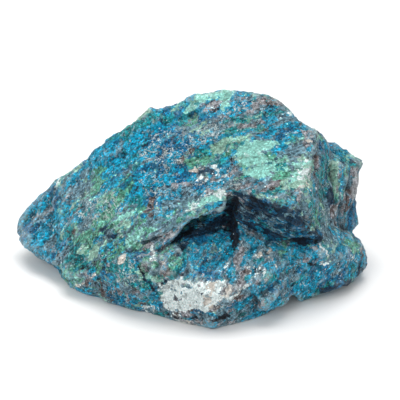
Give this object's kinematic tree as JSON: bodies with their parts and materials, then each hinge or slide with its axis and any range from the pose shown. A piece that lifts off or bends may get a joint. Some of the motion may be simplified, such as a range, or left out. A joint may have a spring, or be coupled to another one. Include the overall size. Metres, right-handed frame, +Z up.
{
  "type": "rough chrysocolla mineral specimen",
  "caption": "Rough lump of blue-green chrysocolla rock with a domed crown, a recess under a brow, a sloping ledge, a pale front panel and a flat base to rest on.",
  "frame": {"origin": "middle of the outline seen from above, at the level of the flat base that the lump rests on", "axes": "+X along the length, from the pointed left tip to the blunt right end; +Y from the front, with the recess and the pale panel, to the back; +Z up"},
  "size_m": [0.102, 0.075, 0.0554],
  "materials": {
    "chrysocolla": "rough broken mineral surface, azure, teal and mint patches with pale and dark specks"
  },
  "bodies": {
    "root": {"chrysocolla_rock": "chrysocolla"}
  },
  "joints": []
}
